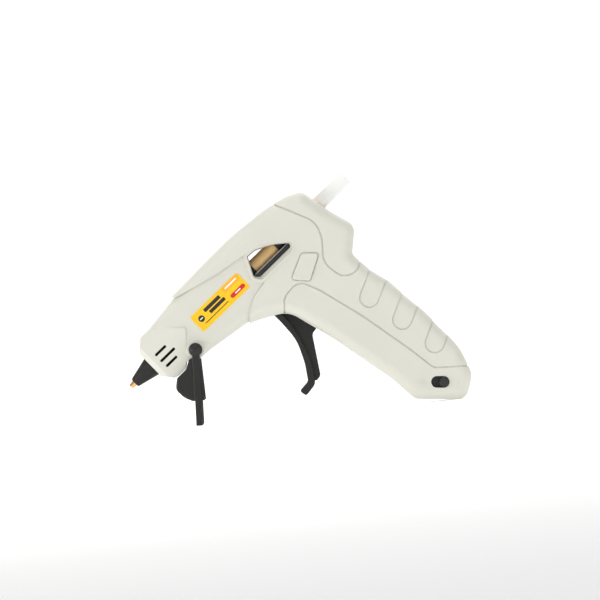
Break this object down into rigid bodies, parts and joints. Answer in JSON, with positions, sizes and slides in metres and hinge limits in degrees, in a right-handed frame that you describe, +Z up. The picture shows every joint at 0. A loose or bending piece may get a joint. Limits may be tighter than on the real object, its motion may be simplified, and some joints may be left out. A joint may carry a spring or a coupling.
{
  "type": "glue gun",
  "caption": "Pistol-shaped hot glue gun: split plastic housing with side window, heated nozzle, trigger feed, folding stand and slide switch.",
  "frame": {"origin": "on the floor under the middle of the box, with the stand's feet and the heel of the handle resting on Z = 0", "axes": "+Z up, +X from the nozzle towards the back of the gun, +Y towards its right-hand side; the barrel points down and forward in the XZ plane"},
  "size_m": [0.164, 0.0338, 0.1141],
  "materials": {
    "shell_grey": "fine matt moulded texture",
    "black_plastic": "satin moulded",
    "black_silicone": "matt",
    "brass": "turned",
    "steel": "bright",
    "chamber_alloy": "die cast",
    "ceramic": "sintered",
    "film": "clear amber film",
    "glue": "translucent waxy",
    "switch_black": "satin",
    "brown_insulation": "satin",
    "blue_insulation": "satin",
    "label": "gloss laminate"
  },
  "bodies": {
    "housing": {"left_housing_shell": "shell_grey", "right_housing_shell": "shell_grey", "nozzle_tip": "brass", "nozzle_insulator": "black_silicone", "check_spring": "steel", "melt_chamber": "chamber_alloy", "heater_film": "film", "heater_electrodes": "brass", "ptc_heater": "ceramic", "heater_clamp": "steel", "inlet_sleeve": "black_silicone", "sleeve_clip": "steel", "return_spring": "steel", "trigger_pivot_pin": "steel", "switch_body": "switch_black", "switch_terminals": "brass", "cord_inlet_bush": "black_silicone", "live_lead": "brown_insulation", "neutral_lead": "blue_insulation", "splice_cap": "switch_black", "housing_screws": "steel", "label_sticker": "label", "feed_guide": "black_plastic"},
    "trigger": {"trigger": "black_plastic"},
    "carriage": {"feed_carriage": "black_plastic", "jaw_pin": "steel"},
    "jaw": {"grip_jaw": "steel"},
    "stick": {"glue_stick": "glue"},
    "stand": {"stand": "black_plastic"},
    "switch_knob": {"switch_slider": "switch_black"},
    "valve_ball": {"check_ball": "steel"}
  },
  "joints": [
    {"name": "trigger_pull", "type": "hinge", "parent": "housing", "child": "trigger", "pos_m": [0.00447, 0, 0.05472], "axis": [0, -1, 0], "range_deg": [0, 22], "stiffness_Nm_per_rad": 0.08, "springref_deg": -8.59},
    {"name": "carriage_slide", "type": "slide", "parent": "housing", "child": "carriage", "axis": [-0.7823, 0, -0.6229], "range_m": [0, 0.0064], "deforming": ["return_spring"]},
    {"name": "jaw_grip", "type": "hinge", "parent": "carriage", "child": "jaw", "pos_m": [-0.00173, 0, 0.09541], "axis": [0, -1, 0], "range_deg": [0, 4]},
    {"name": "stick_feed", "type": "slide", "parent": "housing", "child": "stick", "axis": [-0.7823, 0, -0.6229], "range_m": [-0.02, 0.007]},
    {"name": "stand_fold", "type": "hinge", "parent": "housing", "child": "stand", "pos_m": [-0.04829, 0, 0.03637], "axis": [0, -1, 0], "range_deg": [0, 112]},
    {"name": "switch_slide", "type": "slide", "parent": "housing", "child": "switch_knob", "axis": [-0.9945, 0, 0.1043], "range_m": [0, 0.0036]},
    {"name": "valve_lift", "type": "slide", "parent": "housing", "child": "valve_ball", "axis": [-0.7823, 0, -0.6229], "range_m": [0, 0.001], "stiffness_N_per_m": 15, "springref_m": -0.0005, "deforming": ["check_spring"]}
  ],
  "couplings": [
    {"joint": "carriage_slide", "follows": "trigger_pull", "m_per_rad": 0.016423},
    {"joint": "jaw_grip", "follows": "trigger_pull", "ratio": 0.18182}
  ]
}
